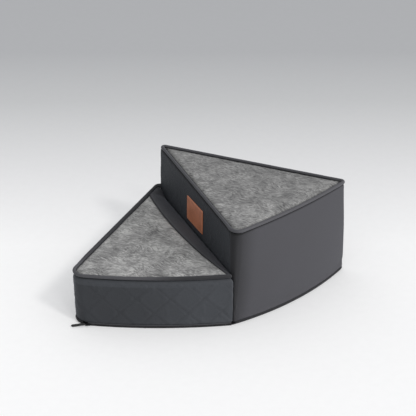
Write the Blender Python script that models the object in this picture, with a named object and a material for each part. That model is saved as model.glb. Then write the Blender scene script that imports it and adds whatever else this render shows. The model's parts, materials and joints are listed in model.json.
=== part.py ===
"""Corner step for pets: two foam wedges, one high and one low, in a zipped fabric cover.

In plan the step is a quarter of a disc. A line at 45 degrees divides it into a low and a
high wedge, so the riser runs from the inner corner, the apex, to the middle of the bowed front.
Plan coordinates start at the apex: the high wedge's straight side runs along +X, the low
wedge's along -Y. Angles are in degrees, clockwise from +X. Heights start at the floor.
"""

import math

import bmesh
import bpy
from mathutils import Vector

MM = 0.001

# Driving dimensions
RADIUS = 610 * MM  # length of each straight side, to the sharp corner
DIVIDER = 45.0
QUARTER = 90.0
LOW_TOP = 165 * MM
HIGH_TOP = 297 * MM
# How far each front stands proud of its chord: the high one at the floor and at the top
LOW_BOW = 20 * MM
HIGH_BOW = (31 * MM, 14 * MM)
# Corner radii of the cover
NEAR_CORNER = 38 * MM  # where the low straight side meets the front
FAR_CORNER = 14 * MM  # where the high straight side meets the front
RISER_CORNER = (5 * MM, 28 * MM)  # where the riser meets the front, at the floor and the top
SEAM_CORNER = 4 * MM
HIGH_APEX = 11 * MM
LOW_APEX = 14 * MM
TIGHT = 1.5 * MM  # smallest radius after insetting

# Cloth and foam
PIPING = 5 * MM  # radius
CLOTH = 2.5 * MM
BATTING = 5 * MM
CLOTH_INSET = 1.5 * MM
GAP = 0.4 * MM
LOFT_GAP = 1.0 * MM  # between faces that lean differently
PILE = 6 * MM
TREAD_SINK = 1.5 * MM
BACKING = 2.3 * MM
TOPPER = 25 * MM
BASE_CLOTH = 2.4 * MM
EASED = 4 * MM  # height over which the foam widens above the base piping

# The dark border along the foot of the riser, measured from the divider line
BORDER_WIDEST = 61.5 * MM
BORDER_PEAK = 190 * MM
BORDER_REACH = 448 * MM
BORDER_START = 40 * MM
BORDER_END = 592 * MM
BORDER_TIP = 2 * PIPING * math.sqrt(2) + 3 * GAP  # from the apex to the tip, clear of the piping
BORDER_NEAR = 1.2 * MM  # clear of the riser
BORDER_SINK = (2 * MM, 2.5 * MM)  # below the tread, at the plush and where it turns down
BORDER_FLAT = 3 * MM
CREVICE = (26 * MM, 4 * MM)  # depth at the apex and at the front
CHAMFER = 28 * MM

# Label on the riser: middle, measured from the apex and the floor, and size
LABEL_ALONG = 303 * MM
LABEL_HEIGHT = 201.5 * MM
LABEL_SIZE = (132 * MM, 75 * MM)
LABEL_THICK = 1.8 * MM
LABEL_CORNER = 3 * MM

# Zipper along the foot of the front
BAND_FOOT = 0.6 * MM
BAND_TOP = 10.1 * MM
TAPE = 1.3 * MM
TAPE_FACE = 0.8 * MM
TAPE_HEIGHT = 3 * MM
COIL = (1.5 * MM, 2.6 * MM)  # height and depth of one half
COIL_FACE = 0.2 * MM
STOP = (3 * MM, 2.2 * MM)  # length and depth
STOP_GAP = 0.6 * MM  # from the end of the coils
STOP_PROUD = 0.3 * MM
SLIDER = (15 * MM, 9 * MM, 1.6 * MM)  # length, height, thickness of a plate
SLIDER_REST = 58 * MM  # from the sharp near corner, along the front
BRIDGE = (9 * MM, 2.2 * MM, 1.1 * MM)  # length, height, wire thickness
SEAT = 0.05 * MM
PIN_STAND_OFF = 2.1 * MM  # from the slider's plate to the pull's pin
LOOP_WIRE = 0.6 * MM
LOOP_REACH = 7 * MM
PULL_LENGTH = 47 * MM  # pin to tip
PULL_RADIUS = (2.6 * MM, 3.9 * MM)  # at the loop and at the tip
PULL_TURN = 79.0  # at rest, from square to the front towards the near corner
PULL_DROOP = 1.3  # the grip's tip hangs to the floor

CORNER_STEPS = 6
ARC_STEPS = 20
TUBE_SIDES = 8
SIDE = 2 * CORNER_STEPS + ARC_STEPS  # index where a wedge's second straight side starts

CHARCOAL = (0.085, 0.088, 0.095)
PLUSH = (0.32, 0.32, 0.32)
BLACK = (0.012, 0.012, 0.013)
FOAM = (0.75, 0.72, 0.62)
WHITE = (0.8, 0.8, 0.78)
TAN = (0.36, 0.13, 0.06)


def clear_scene():
    for old in list(bpy.data.objects):
        bpy.data.objects.remove(old)


def material(name, colour, roughness, metallic=0.0):
    made = bpy.data.materials.new(name)
    made.use_nodes = True
    shader = made.node_tree.nodes["Principled BSDF"]
    shader.inputs["Base Color"].default_value = (*colour, 1)
    shader.inputs["Roughness"].default_value = roughness
    shader.inputs["Metallic"].default_value = metallic
    return made


def empty(name, place, parent=None):
    made = bpy.data.objects.new(name, None)
    bpy.context.scene.collection.objects.link(made)
    made.parent = parent
    made.location = place
    return made


def add_solid(name, points, faces, finish, parent, smooth=35):
    """Makes a node from points in its parent's coordinates and turns its faces outwards."""
    mesh = bpy.data.meshes.new(name)
    mesh.from_pydata([tuple(p) for p in points], [], faces)
    shape = bmesh.new()
    shape.from_mesh(mesh)
    bmesh.ops.recalc_face_normals(shape, faces=shape.faces)
    shape.to_mesh(mesh)
    shape.free()
    mesh.shade_smooth()
    mesh.set_sharp_from_angle(angle=math.radians(smooth))
    mesh.materials.append(finish)
    made = bpy.data.objects.new(name, mesh)
    bpy.context.scene.collection.objects.link(made)
    made.parent = parent
    return made


# Plan geometry


def along(angle):
    return Vector((math.cos(math.radians(angle)), -math.sin(math.radians(angle))))


def inward(angle, first):
    """Unit vector into the wedge, square to its first or its second straight side."""
    a = math.radians(angle)
    normal = Vector((-math.sin(a), -math.cos(a)))
    return normal if first else -normal


def front_circle(first, second, bow):
    """Centre and radius of the arc between two sharp corners that bows out by that much."""
    start, end = along(first) * RADIUS, along(second) * RADIUS
    middle = (start + end) / 2
    half = (end - start).length / 2
    radius = (half * half + bow * bow) / (2 * bow)
    return middle + middle.normalized() * (bow - radius), radius


def heading(v):
    return math.atan2(v.y, v.x)


def turn(centre, radius, start, end, steps):
    """Points on a circle from one direction to another, the short way round."""
    first = heading(start)
    sweep = (heading(end) - first + math.pi) % (2 * math.pi) - math.pi
    found = []
    for i in range(steps + 1):
        a = first + sweep * i / steps
        found.append(centre + radius * Vector((math.cos(a), math.sin(a))))
    return found


def corner_centre(angle, first, inset, radius, circle, reach):
    """Centre of a fillet between a straight side and the front, both moved inwards."""
    centre, big = circle
    side, normal = along(angle), inward(angle, first)
    foot = normal * (inset + radius)
    lead = side.dot(centre)
    room = (big - reach - radius) ** 2 - (foot - centre).length_squared
    return foot + side * (lead + math.sqrt(lead * lead + room))


def apex_centre(first, second, insets, radius):
    n0, n1 = inward(first, True), inward(second, False)
    d0, d1 = insets[0] + radius, insets[2] + radius
    cross = n0.x * n1.y - n0.y * n1.x
    return Vector(((d0 * n1.y - d1 * n0.y) / cross, (n0.x * d1 - n1.x * d0) / cross))


def wedge(first, second, bow, radii, insets):
    """Outline of a wedge: first corner, front, second corner, apex.

    radii are those of the first corner, second corner and apex before insetting; insets are
    those of the first straight side, the front and the second straight side.
    """
    circle = front_circle(first, second, bow)
    r0 = max(TIGHT, radii[0] - min(insets[0], insets[1]))
    r1 = max(TIGHT, radii[1] - min(insets[1], insets[2]))
    r2 = max(TIGHT, radii[2] - min(insets[0], insets[2]))
    c0 = corner_centre(first, True, insets[0], r0, circle, insets[1])
    c1 = corner_centre(second, False, insets[2], r1, circle, insets[1])
    c2 = apex_centre(first, second, insets, r2)
    n0, n1 = inward(first, True), inward(second, False)
    out0, out1 = c0 - circle[0], c1 - circle[0]
    points = turn(c0, r0, -n0, out0, CORNER_STEPS)
    points += turn(circle[0], circle[1] - insets[1], out0, out1, ARC_STEPS)[1:]
    points += turn(c1, r1, out1, -n1, CORNER_STEPS)[1:]
    points += turn(c2, r2, -n1, -n0, CORNER_STEPS)
    return points


def blend(ends, share):
    return ends[0] + (ends[1] - ends[0]) * share


def high_outline(height, side, front, riser):
    """Outline of the high wedge, inset by those amounts from its three sides."""
    share = height / HIGH_TOP
    radii = (FAR_CORNER, blend(RISER_CORNER, share), HIGH_APEX)
    return wedge(0, DIVIDER, blend(HIGH_BOW, share), radii, (side, front, riser))


def low_outline(riser, front, side):
    """Outline of the low wedge, inset by those amounts from its three sides."""
    radii = (SEAM_CORNER, NEAR_CORNER, LOW_APEX)
    return wedge(DIVIDER, QUARTER, LOW_BOW, radii, (riser, front, side))


def floor_outline(inset):
    """Outline of the whole base, from the far corner along both fronts and round the apex."""
    half = CORNER_STEPS + ARC_STEPS
    points = high_outline(0, inset, inset, inset)[: half + 1]
    points += low_outline(inset, inset, inset)[CORNER_STEPS : SIDE + 1]
    tight = max(TIGHT, HIGH_APEX - inset)
    middle = apex_centre(0, QUARTER, (inset,) * 3, tight)
    return points + turn(middle, tight, Vector((-1, 0)), Vector((0, 1)), CORNER_STEPS)


def at_height(outline, height):
    return [Vector((p.x, p.y, height)) for p in outline]


def by_divider(distance, reach, height):
    """A point by its distance along the divider and how far into the low wedge it is."""
    p = along(DIVIDER) * distance + inward(DIVIDER, True) * reach
    return Vector((p.x, p.y, height))


def border_reach(distance):
    """Half-parabola: width of the dark border at a distance from the apex."""
    bowed = BORDER_WIDEST * (1 - ((distance - BORDER_PEAK) / BORDER_REACH) ** 2)
    return min(bowed, distance - BORDER_TIP)


# Solids


def loft(rings):
    """Faces and points of a closed solid through rings that all have the same count."""
    count = len(rings[0])
    points = [p for ring in rings for p in ring]
    faces = [tuple(range(count))]
    for level in range(len(rings) - 1):
        low, high = level * count, (level + 1) * count
        for i in range(count):
            j = (i + 1) % count
            faces.append((low + i, low + j, high + j, high + i))
    faces.append(tuple(range(len(points) - count, len(points))))
    return points, faces


def trimmed(path, amount):
    """An open path with both of its ends pulled back."""
    made = list(path)
    made[0] = made[0] + (made[1] - made[0]).normalized() * amount
    made[-1] = made[-1] + (made[-2] - made[-1]).normalized() * amount
    return made


def band(outer, inner, foot, top):
    """A thin wall between two open paths. foot and top are heights; a path is a function of one."""
    low_out, top_out = (trimmed(at_height(outer(h), h), GAP / 2) for h in (foot, top))
    low_in, top_in = (trimmed(at_height(inner(h), h), GAP / 2) for h in (foot, top))
    rings = [list(ring) for ring in zip(low_out, low_in, top_in, top_out)]
    return loft(rings)


def tube(path, radius, closed, sides=TUBE_SIDES):
    """A round cord on a level path."""
    count = len(path)
    rings = []
    for i, p in enumerate(path):
        before = path[(i - 1) % count] if closed or i else p
        after = path[(i + 1) % count] if closed or i < count - 1 else p
        tangent = (after - before).normalized()
        outward = Vector((tangent.y, -tangent.x, 0))
        ring = []
        for k in range(sides):
            a = 2 * math.pi * k / sides
            ring.append(p + outward * radius * math.cos(a) + Vector((0, 0, radius * math.sin(a))))
        rings.append(ring)
    if not closed:
        return loft(rings)
    points = [p for ring in rings for p in ring]
    faces = []
    for i in range(count):
        j = (i + 1) % count
        for k in range(sides):
            m = (k + 1) % sides
            faces.append((i * sides + k, i * sides + m, j * sides + m, j * sides + k))
    return points, faces


def box(corner, size):
    """A block with one corner at a point, in the axes of its parent."""
    ring = [(0, 0), (1, 0), (1, 1), (0, 1)]
    rings = []
    for h in (0, 1):
        rings.append([Vector(corner) + Vector((size[0] * x, size[1] * y, size[2] * h)) for x, y in ring])
    return loft(rings)


# Foam


def make_foam(apex, foam, memory):
    floor = BASE_CLOTH + GAP
    quilted = CLOTH_INSET + CLOTH + BATTING + GAP * 2
    plain = CLOTH_INSET + CLOTH + LOFT_GAP
    eased = BAND_TOP - floor + LOFT_GAP  # clear of the base piping
    tread = 2 * PIPING + GAP
    for name, top in (("lower", LOW_TOP), ("upper", HIGH_TOP)):
        split = top - tread - TOPPER
        core = [floor, BAND_TOP, BAND_TOP + EASED, split - GAP]
        for kind, finish, heights in (("core", foam, core), ("topper", memory, (split, top - tread))):
            rings = []
            for h in heights:
                side = eased if h <= BAND_TOP else plain
                if name == "upper":
                    outline = high_outline(h, side, side, quilted)
                else:
                    share = max(0.0, h - split) / TOPPER
                    riser = LOFT_GAP + (CHAMFER - LOFT_GAP) * share
                    outline = low_outline(riser, max(side, quilted + LOFT_GAP), side)
                rings.append(at_height(outline, h))
            add_solid(f"{name}_foam_{kind}", *loft(rings), finish, apex)


# Cover


def make_base(apex, lining):
    inset = TAPE_FACE + TAPE + GAP
    rings = [at_height(floor_outline(inset), h) for h in (0, BASE_CLOTH)]
    add_solid("base_panel", *loft(rings), lining, apex)


def make_walls(apex, cloth, quilt, batting):
    outer, inner = CLOTH_INSET, CLOTH_INSET + CLOTH
    foot = BAND_TOP + GAP
    low_top, high_top = LOW_TOP - 2 * PIPING - GAP, HIGH_TOP - 2 * PIPING - GAP
    floor = BASE_CLOTH + GAP
    nose = SIDE + 1 + CORNER_STEPS // 2

    def low(first, last, inset):
        return lambda h: low_outline(LOFT_GAP, inset, inset)[first : last + 1]

    def high(first, last, inset):
        return lambda h: high_outline(h, inset, inset, inset)[first : last + 1]

    def straight(inset):
        """From the apex's nose along the high straight side to the far corner."""
        return lambda h: high_outline(h, *(inset,) * 3)[nose:] + high_outline(h, *(inset,) * 3)[:1]

    panels = {
        "lower_front_panel": (low, 0, SIDE, foot, low_top, quilt),
        "lower_side_panel": (low, SIDE, SIDE + 1 + CORNER_STEPS, foot, low_top, cloth),
        "upper_front_panel": (high, 0, SIDE, foot, high_top, cloth),
        "riser_panel": (high, SIDE, nose, floor, high_top, quilt),
    }
    for name, (path, first, last, bottom, top, finish) in panels.items():
        walls = band(path(first, last, outer), path(first, last, inner), bottom, top)
        add_solid(name, *walls, finish, apex)
    walls = band(straight(outer), straight(inner), foot, high_top)
    add_solid("upper_side_panel", *walls, cloth, apex)

    near, far = inner + GAP, inner + GAP + BATTING
    arc = (CORNER_STEPS, CORNER_STEPS + ARC_STEPS)
    padding = band(low(*arc, near), low(*arc, far), foot + CLOTH, low_top)
    add_solid("lower_front_batting", *padding, batting, apex)
    start = along(DIVIDER) * RISER_CORNER[1]
    end = along(DIVIDER) * (RADIUS - 2 * RISER_CORNER[1])
    into = inward(DIVIDER, False)
    padding = band(
        lambda h: [end + into * near, start + into * near],
        lambda h: [end + into * far, start + into * far],
        floor,
        high_top,
    )
    add_solid("riser_batting", *padding, batting, apex)


def border_stations():
    """Distances along the divider; past the tip, from where the border clears the chamfer."""
    steps = 16
    level = BORDER_TIP + CHAMFER
    rest = (level + BORDER_FLAT, BORDER_END)
    return [BORDER_START, level] + [blend(rest, i / steps) for i in range(steps + 1)]


def low_tread_outline():
    """The plush's edge: inside the piping on two sides and along the border on the third."""
    inset = 2 * PIPING + GAP
    wall = low_outline(inset, inset, inset)[CORNER_STEPS : SIDE + 1]
    centre, radius = front_circle(DIVIDER, QUARTER, LOW_BOW)
    edge = []
    for s in border_stations():
        p = by_divider(s, border_reach(s) + GAP, 0).to_2d()
        if min(p.x, radius - (p - centre).length) > inset + TIGHT:
            edge.append(p)
    return wall + edge


def make_treads(apex, plush, lining, cloth):
    inset = 2 * PIPING + GAP
    for name, top in (("lower", LOW_TOP), ("upper", HIGH_TOP)):
        pile = (top - TREAD_SINK - PILE, top - TREAD_SINK)
        backing = (pile[0] - GAP - BACKING, pile[0] - GAP)
        for kind, finish, levels in (("panel", plush, pile), ("backing", lining, backing)):
            if name == "upper":
                outline = high_outline(HIGH_TOP, inset, inset, inset)
            else:
                outline = low_tread_outline()
            rings = [at_height(outline, h) for h in levels]
            add_solid(f"{name}_tread_{kind}", *loft(rings), finish, apex)
    make_border(apex, cloth)


def make_border(apex, cloth):
    """Padded strip from the low tread's plush down into the crevice at the riser's foot."""
    flat = LOW_TOP - 2 * PIPING
    slope = TOPPER / (CHAMFER - LOFT_GAP)
    rings = []
    for s in border_stations():
        reach = border_reach(s)
        middle = min(CHAMFER, reach - BORDER_FLAT)
        depth = blend(CREVICE, s / RADIUS)
        section = [
            (reach, LOW_TOP - BORDER_SINK[0]),
            (middle, LOW_TOP - BORDER_SINK[1]),
            (BORDER_NEAR, LOW_TOP - depth),
        ]
        for d in (BORDER_NEAR, middle, reach):
            drop = max(0.0, CHAMFER - d) * slope
            section.append((d, flat - drop + GAP * 3))
        rings.append([by_divider(s, d, h) for d, h in section])
    add_solid("lower_tread_border", *loft(rings), cloth, apex)


def make_piping(apex, trim):
    rim = PIPING
    high = at_height(high_outline(HIGH_TOP, rim, rim, rim), HIGH_TOP - PIPING)
    add_solid("upper_tread_piping", *tube(high, PIPING, True), trim, apex)
    to_riser = SIDE + CORNER_STEPS - 1  # part of the way round the apex
    low = at_height(low_outline(rim, rim, rim)[CORNER_STEPS:to_riser], LOW_TOP - PIPING)
    low = trimmed(low, LOFT_GAP)
    add_solid("lower_tread_piping", *tube(low, PIPING, False), trim, apex)
    floor = BASE_CLOTH + GAP
    radius = (BAND_TOP - floor) / 2
    around = floor_outline(radius)
    seam = CORNER_STEPS + ARC_STEPS
    path = around[seam + ARC_STEPS + 2 :] + around[: seam + 1]
    path = trimmed(at_height(path, floor + radius), 2 * LOFT_GAP)
    add_solid("base_piping", *tube(path, radius, False), trim, apex)


def make_label(apex, leather):
    wide, tall = LABEL_SIZE
    ring = []
    for sx, sy, start, end in (
        (1, 1, (1, 0), (0, 1)),
        (-1, 1, (0, 1), (-1, 0)),
        (-1, -1, (-1, 0), (0, -1)),
        (1, -1, (0, -1), (1, 0)),
    ):
        middle = Vector((sx * (wide / 2 - LABEL_CORNER), sy * (tall / 2 - LABEL_CORNER)))
        ring += turn(middle, LABEL_CORNER, Vector(start), Vector(end), 3)
    back = -(CLOTH_INSET - GAP)
    rings = []
    for reach in (back, back + LABEL_THICK):
        rings.append([by_divider(LABEL_ALONG + p.x, reach, LABEL_HEIGHT + p.y) for p in ring])
    add_solid("leather_label", *loft(rings), leather, apex)


# Zipper


def front_path(inset):
    """The foot of the low front, from the seam at the divider to the near corner."""
    return low_outline(inset, inset, inset)[CORNER_STEPS : CORNER_STEPS + ARC_STEPS + 1]


def make_zipper(apex, tape, coil, metal):
    middle = (BAND_FOOT + BAND_TOP) / 2
    rows = {
        "zipper_lower_tape": (BAND_FOOT, BAND_FOOT + TAPE_HEIGHT, TAPE, tape),
        "zipper_lower_coil": (middle - COIL[0] - GAP / 4, middle - GAP / 4, COIL[1], coil),
        "zipper_upper_coil": (middle + GAP / 4, middle + COIL[0] + GAP / 4, COIL[1], coil),
        "zipper_upper_tape": (BAND_TOP - TAPE_HEIGHT, BAND_TOP, TAPE, tape),
    }
    for name, (foot, top, depth, finish) in rows.items():
        face = COIL_FACE if finish == coil else TAPE_FACE
        strip = band(
            lambda h, face=face: front_path(face),
            lambda h, face=face, depth=depth: front_path(face + depth),
            foot,
            top,
        )
        add_solid(name, *strip, finish, apex)
    make_stops(apex, metal, middle)


def make_stops(apex, metal, middle):
    """A crimped clip past each end of the coils."""
    reach = COIL[0] + GAP
    ends = {"zipper_top_stop": front_path(0)[-2:], "zipper_bottom_stop": front_path(0)[1::-1]}
    for name, (before, end) in ends.items():
        forward = (end - before).normalized()
        side = Vector((forward.y, -forward.x))
        if side.dot(end) < 0:
            side = -side
        start = end + forward * STOP_GAP
        corners = [(0, 0), (STOP[0], 0), (STOP[0], -STOP[1]), (0, -STOP[1])]
        ring = [start + forward * x + side * (y - STOP_PROUD) for x, y in corners]
        rings = [at_height(ring, h) for h in (middle - reach, middle + reach)]
        add_solid(name, *loft(rings), metal, apex)


def make_slider(apex, metal, rubber):
    """The slider turns about the centre of the low front's arc, which is how it travels."""
    centre, radius = front_circle(DIVIDER, QUARTER, LOW_BOW)
    start = along(QUARTER) * RADIUS
    chord = along(DIVIDER) * RADIUS - start
    lead = math.asin(chord.length / 2 / radius) - SLIDER_REST / radius
    facing = heading(-centre + (along(DIVIDER) + along(QUARTER)) * RADIUS / 2) - lead
    track = empty("zipper_travel_axis", (centre.x, centre.y, 0), apex)
    carrier = empty("slider_frame", (0, 0, 0), track)
    carrier.rotation_euler = (0, 0, facing)
    long, tall, thick = SLIDER
    middle = (BAND_FOOT + BAND_TOP) / 2
    plate = radius + GAP
    add_solid("slider_body", *box((plate, -long / 2, middle - tall / 2), (thick, long, tall)), metal, carrier)
    rear = radius - COIL_FACE - COIL[1] - GAP - thick
    low = BASE_CLOTH + GAP
    add_solid(
        "slider_rear_plate",
        *box((rear, -long / 2, low), (thick, long, BAND_TOP - low)),
        metal,
        carrier,
    )
    face = plate + thick + SEAT
    span, width, wire = BRIDGE
    crest = face + PIN_STAND_OFF + LOOP_WIRE + GAP + wire
    outer = [(face, -span / 2), (crest, -span / 3), (crest, span / 3), (face, span / 2)]
    inner = [(face, span / 2 - wire), (crest - wire, span / 3 - wire / 2)]
    inner += [(crest - wire, -span / 3 + wire / 2), (face, -span / 2 + wire)]
    rings = [[Vector((x, y, h)) for x, y in outer + inner] for h in (middle - width / 2, middle + width / 2)]
    add_solid("slider_bridge", *loft(rings), metal, carrier)
    pin = empty("pull_swing_axis", (face + PIN_STAND_OFF, 0, middle), carrier)
    make_pull(pin, metal, rubber, width / 2)


def make_pull(pin, metal, rubber, clear):
    """A wire stirrup through the bridge and a moulded grip, turned towards the near corner."""
    frame = empty("pull_frame", (0, 0, 0), pin)
    frame.rotation_euler = (0, math.radians(PULL_DROOP), math.radians(-PULL_TURN))
    high = clear + GAP + LOOP_WIRE
    path = [(0, -high), (0, high), (LOOP_REACH, high), (LOOP_REACH, -high)]
    points, faces = [], []
    sides = 6
    for i, (x, z) in enumerate(path):
        before, after = Vector(path[i - 1]), Vector(path[(i + 1) % 4])
        here = Vector((x, z))
        mitre = (here - before).normalized() + (here - after).normalized()
        for k in range(sides):
            a = 2 * math.pi * k / sides
            flat = mitre * math.cos(a) * LOOP_WIRE
            points.append(Vector((x + flat.x, math.sin(a) * LOOP_WIRE, z + flat.y)))
    for i in range(4):
        j = (i + 1) % 4
        for k in range(sides):
            m = (k + 1) % sides
            faces.append((i * sides + k, i * sides + m, j * sides + m, j * sides + k))
    add_solid("pull_loop", points, faces, metal, frame)
    start = LOOP_REACH + LOOP_WIRE + GAP
    thin, fat = PULL_RADIUS
    profile = [(start, thin * 0.7), (start + 1.5 * MM, thin), (PULL_LENGTH - 2 * fat, fat * 0.85)]
    for a in (0, 30, 60, 80):
        t = math.radians(a)
        profile.append((PULL_LENGTH - fat + fat * math.sin(t), fat * math.cos(t)))
    rings = []
    for x, r in profile:
        ring = []
        for k in range(12):
            a = 2 * math.pi * k / 12
            ring.append(Vector((x, r * math.cos(a) * 0.8, r * math.sin(a))))
        rings.append(ring)
    add_solid("pull_grip", *loft(rings), rubber, frame)


def centre(apex):
    """Puts the origin on the floor, under the middle of the bounding box."""
    bpy.context.view_layer.update()
    points = []
    for part in bpy.data.objects:
        if part.type == "MESH":
            points += [part.matrix_world @ v.co for v in part.data.vertices]
    for axis in (0, 1):
        values = [p[axis] for p in points]
        apex.location[axis] -= (min(values) + max(values)) / 2


def main():
    clear_scene()
    apex = empty("apex", (0, 0, 0))
    cloth = material("charcoal_cloth", CHARCOAL, 0.75)
    quilt = material("quilted_cloth", CHARCOAL, 0.7)
    trim = material("piping_cloth", CHARCOAL, 0.6)
    plush = material("plush", PLUSH, 0.95)
    lining = material("lining", BLACK, 0.9)
    foam = material("foam", FOAM, 0.95)
    memory = material("memory_foam", WHITE, 0.95)
    padding = material("batting", WHITE, 1.0)
    leather = material("tan_leather", TAN, 0.5)
    tape = material("zipper_tape", BLACK, 0.85)
    nylon = material("zipper_nylon", BLACK, 0.4)
    metal = material("black_metal", BLACK, 0.35, 0.8)
    rubber = material("pull_rubber", BLACK, 0.5)
    make_foam(apex, foam, memory)
    make_base(apex, lining)
    make_walls(apex, cloth, quilt, padding)
    make_treads(apex, plush, lining, cloth)
    make_piping(apex, trim)
    make_label(apex, leather)
    make_zipper(apex, tape, nylon, metal)
    make_slider(apex, metal, rubber)
    centre(apex)


main()
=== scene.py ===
import json
import math

import bmesh
import bpy
import numpy as np
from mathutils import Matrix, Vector


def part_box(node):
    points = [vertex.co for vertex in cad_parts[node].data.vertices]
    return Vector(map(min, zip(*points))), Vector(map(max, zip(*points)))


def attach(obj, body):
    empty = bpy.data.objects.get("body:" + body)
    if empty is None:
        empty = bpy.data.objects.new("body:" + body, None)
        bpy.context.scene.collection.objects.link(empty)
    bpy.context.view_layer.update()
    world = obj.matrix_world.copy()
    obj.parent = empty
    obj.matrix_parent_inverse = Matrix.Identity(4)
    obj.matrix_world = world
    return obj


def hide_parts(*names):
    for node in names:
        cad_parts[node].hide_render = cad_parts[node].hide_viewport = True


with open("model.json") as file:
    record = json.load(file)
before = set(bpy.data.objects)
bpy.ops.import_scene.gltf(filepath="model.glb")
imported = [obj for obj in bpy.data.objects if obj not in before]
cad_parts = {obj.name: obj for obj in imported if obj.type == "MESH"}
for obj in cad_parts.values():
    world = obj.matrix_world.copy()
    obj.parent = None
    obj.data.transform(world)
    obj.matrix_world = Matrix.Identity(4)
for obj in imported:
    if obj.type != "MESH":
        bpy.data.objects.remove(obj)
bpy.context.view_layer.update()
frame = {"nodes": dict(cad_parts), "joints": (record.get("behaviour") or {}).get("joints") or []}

MM = 0.001

# Plan of the step, as the CAD part has it. The apex is the inner corner.
RADIUS = 610 * MM
DIVIDER, QUARTER = 45.0, 90.0
LOW_BOW = 20 * MM
HIGH_BOW = (31 * MM, 14 * MM)  # at the floor and at the tread
NEAR_CORNER = (44 * MM, 38 * MM)
FAR_CORNER = 14 * MM
RISER_CORNER = (5 * MM, 28 * MM)
SEAM_CORNER = 4 * MM
HIGH_APEX, LOW_APEX = 8.5 * MM, 10 * MM
CORD_APEX = 12 * MM
TIGHT = 1.5 * MM
PIPING = 5 * MM
LOW_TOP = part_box("lower_tread_piping")[1].z
HIGH_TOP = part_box("upper_tread_piping")[1].z
BAND_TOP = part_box("zipper_upper_tape")[1].z
FLOOR_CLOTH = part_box("base_panel")[1].z
APEX = np.array([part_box("base_piping")[0].x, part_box("base_piping")[1].y])

# Steps along an outline: first corner, front, second corner, side, apex, side
COUNTS = (14, 170, 14, 190, 14, 190)
STOPS = np.cumsum((0, *COUNTS))
TOTAL = int(STOPS[-1])

QUILT_PITCH = 96 * MM
FACING = 20 * MM
CLOTH = 1.8 * MM
TAPE = 0.9 * MM
CORD_SIDES, FLANGE_SIDES = 18, 8
PLUSH_GAP = 0.6 * MM  # between a cord and the pile beside it
VIEW = 5.18, 23.52, 28.33  # metres away, and degrees round and up
AIM = 0.2764, -0.0088, 0.1805  # of the radius, from the apex
HASH = 374761393, 668265263, 1440662683, 1274126177  # factors that scatter a lattice's numbers
WORD = 0xFFFFFFFF


# Noise on numpy arrays


def lattice(i, seed):
    """A number from -1 to 1 for each whole point, always the same for the same seed."""
    h = i[..., 0] * HASH[0] + i[..., 1] * HASH[1] + i[..., 2] * HASH[2] + seed * HASH[3]
    h &= WORD
    h = ((h ^ (h >> 13)) * 1103515245) & WORD
    return ((h ^ (h >> 16)) & 0xFFFF) / 32767.5 - 1


def noise(p, size, seed):
    """Smooth value noise from -1 to 1. size is the size of a blotch, one number or one per axis."""
    q = np.asarray(p, float) / size
    i = np.floor(q).astype(np.int64)
    f = q - i
    f = f * f * (3 - 2 * f)
    total = 0
    for corner in np.ndindex(2, 2, 2):
        c = np.array(corner)
        weight = np.prod(np.where(c == 1, f, 1 - f), axis=-1)
        total = total + weight * lattice(i + c, seed)
    return total


def fractal(p, size, octaves, seed):
    """Noise with finer and fainter layers over it."""
    size = np.asarray(size, float)
    parts = [noise(p, size / 2**k, seed + k) / 2**k for k in range(octaves)]
    return sum(parts) / (2 - 0.5 ** (octaves - 1))


def smooth(x):
    """Eases from 0 to 1."""
    x = np.clip(x, 0, 1)
    return x * x * (3 - 2 * x)


def bell(distance, width):
    """1 where the distance is nothing, falling off to both sides."""
    return np.exp(-((distance / width) ** 2))


def turns(count):
    """Angles all the way round."""
    return 2 * math.pi * np.arange(count) / count


def foot_and_top(node):
    """Lowest and highest z of a CAD node."""
    return [corner.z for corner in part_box(node)]


# Plan geometry


def unit(v):
    return v / np.linalg.norm(v)


def ray(angle):
    """Plan direction from the apex, in degrees from +X towards the front."""
    return np.array([math.cos(math.radians(angle)), -math.sin(math.radians(angle))])


def inward(angle, first):
    """Plan normal of a wedge's straight side, into the wedge."""
    a = math.radians(angle)
    normal = np.array([-math.sin(a), -math.cos(a)])
    return normal if first else -normal


def front_circle(first, second, bow):
    start, end = ray(first) * RADIUS, ray(second) * RADIUS
    middle, half = (start + end) / 2, np.linalg.norm(end - start) / 2
    radius = (half * half + bow * bow) / (2 * bow)
    return middle + unit(middle) * (bow - radius), radius


def arc(centre, radius, start, end, count):
    """Points and outward normals from one direction up to, but without, another."""
    first = math.atan2(start[1], start[0])
    sweep = (math.atan2(end[1], end[0]) - first + math.pi) % (2 * math.pi) - math.pi
    a = first + sweep * np.arange(count) / count
    normal = np.stack([np.cos(a), np.sin(a)], 1)
    return centre + radius * normal, normal


def corner_centre(angle, first, inset, radius, circle):
    centre, big = circle
    foot = inward(angle, first) * (inset + radius)
    side = ray(angle)
    lead = side @ centre
    room = (big - inset - radius) ** 2 - np.sum((foot - centre) ** 2)
    return foot + side * (lead + math.sqrt(lead * lead + room))


def apex_centre(first, second, distance):
    rows = np.array([inward(first, True), inward(second, False)])
    return np.linalg.solve(rows, np.array([distance, distance]))


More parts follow.
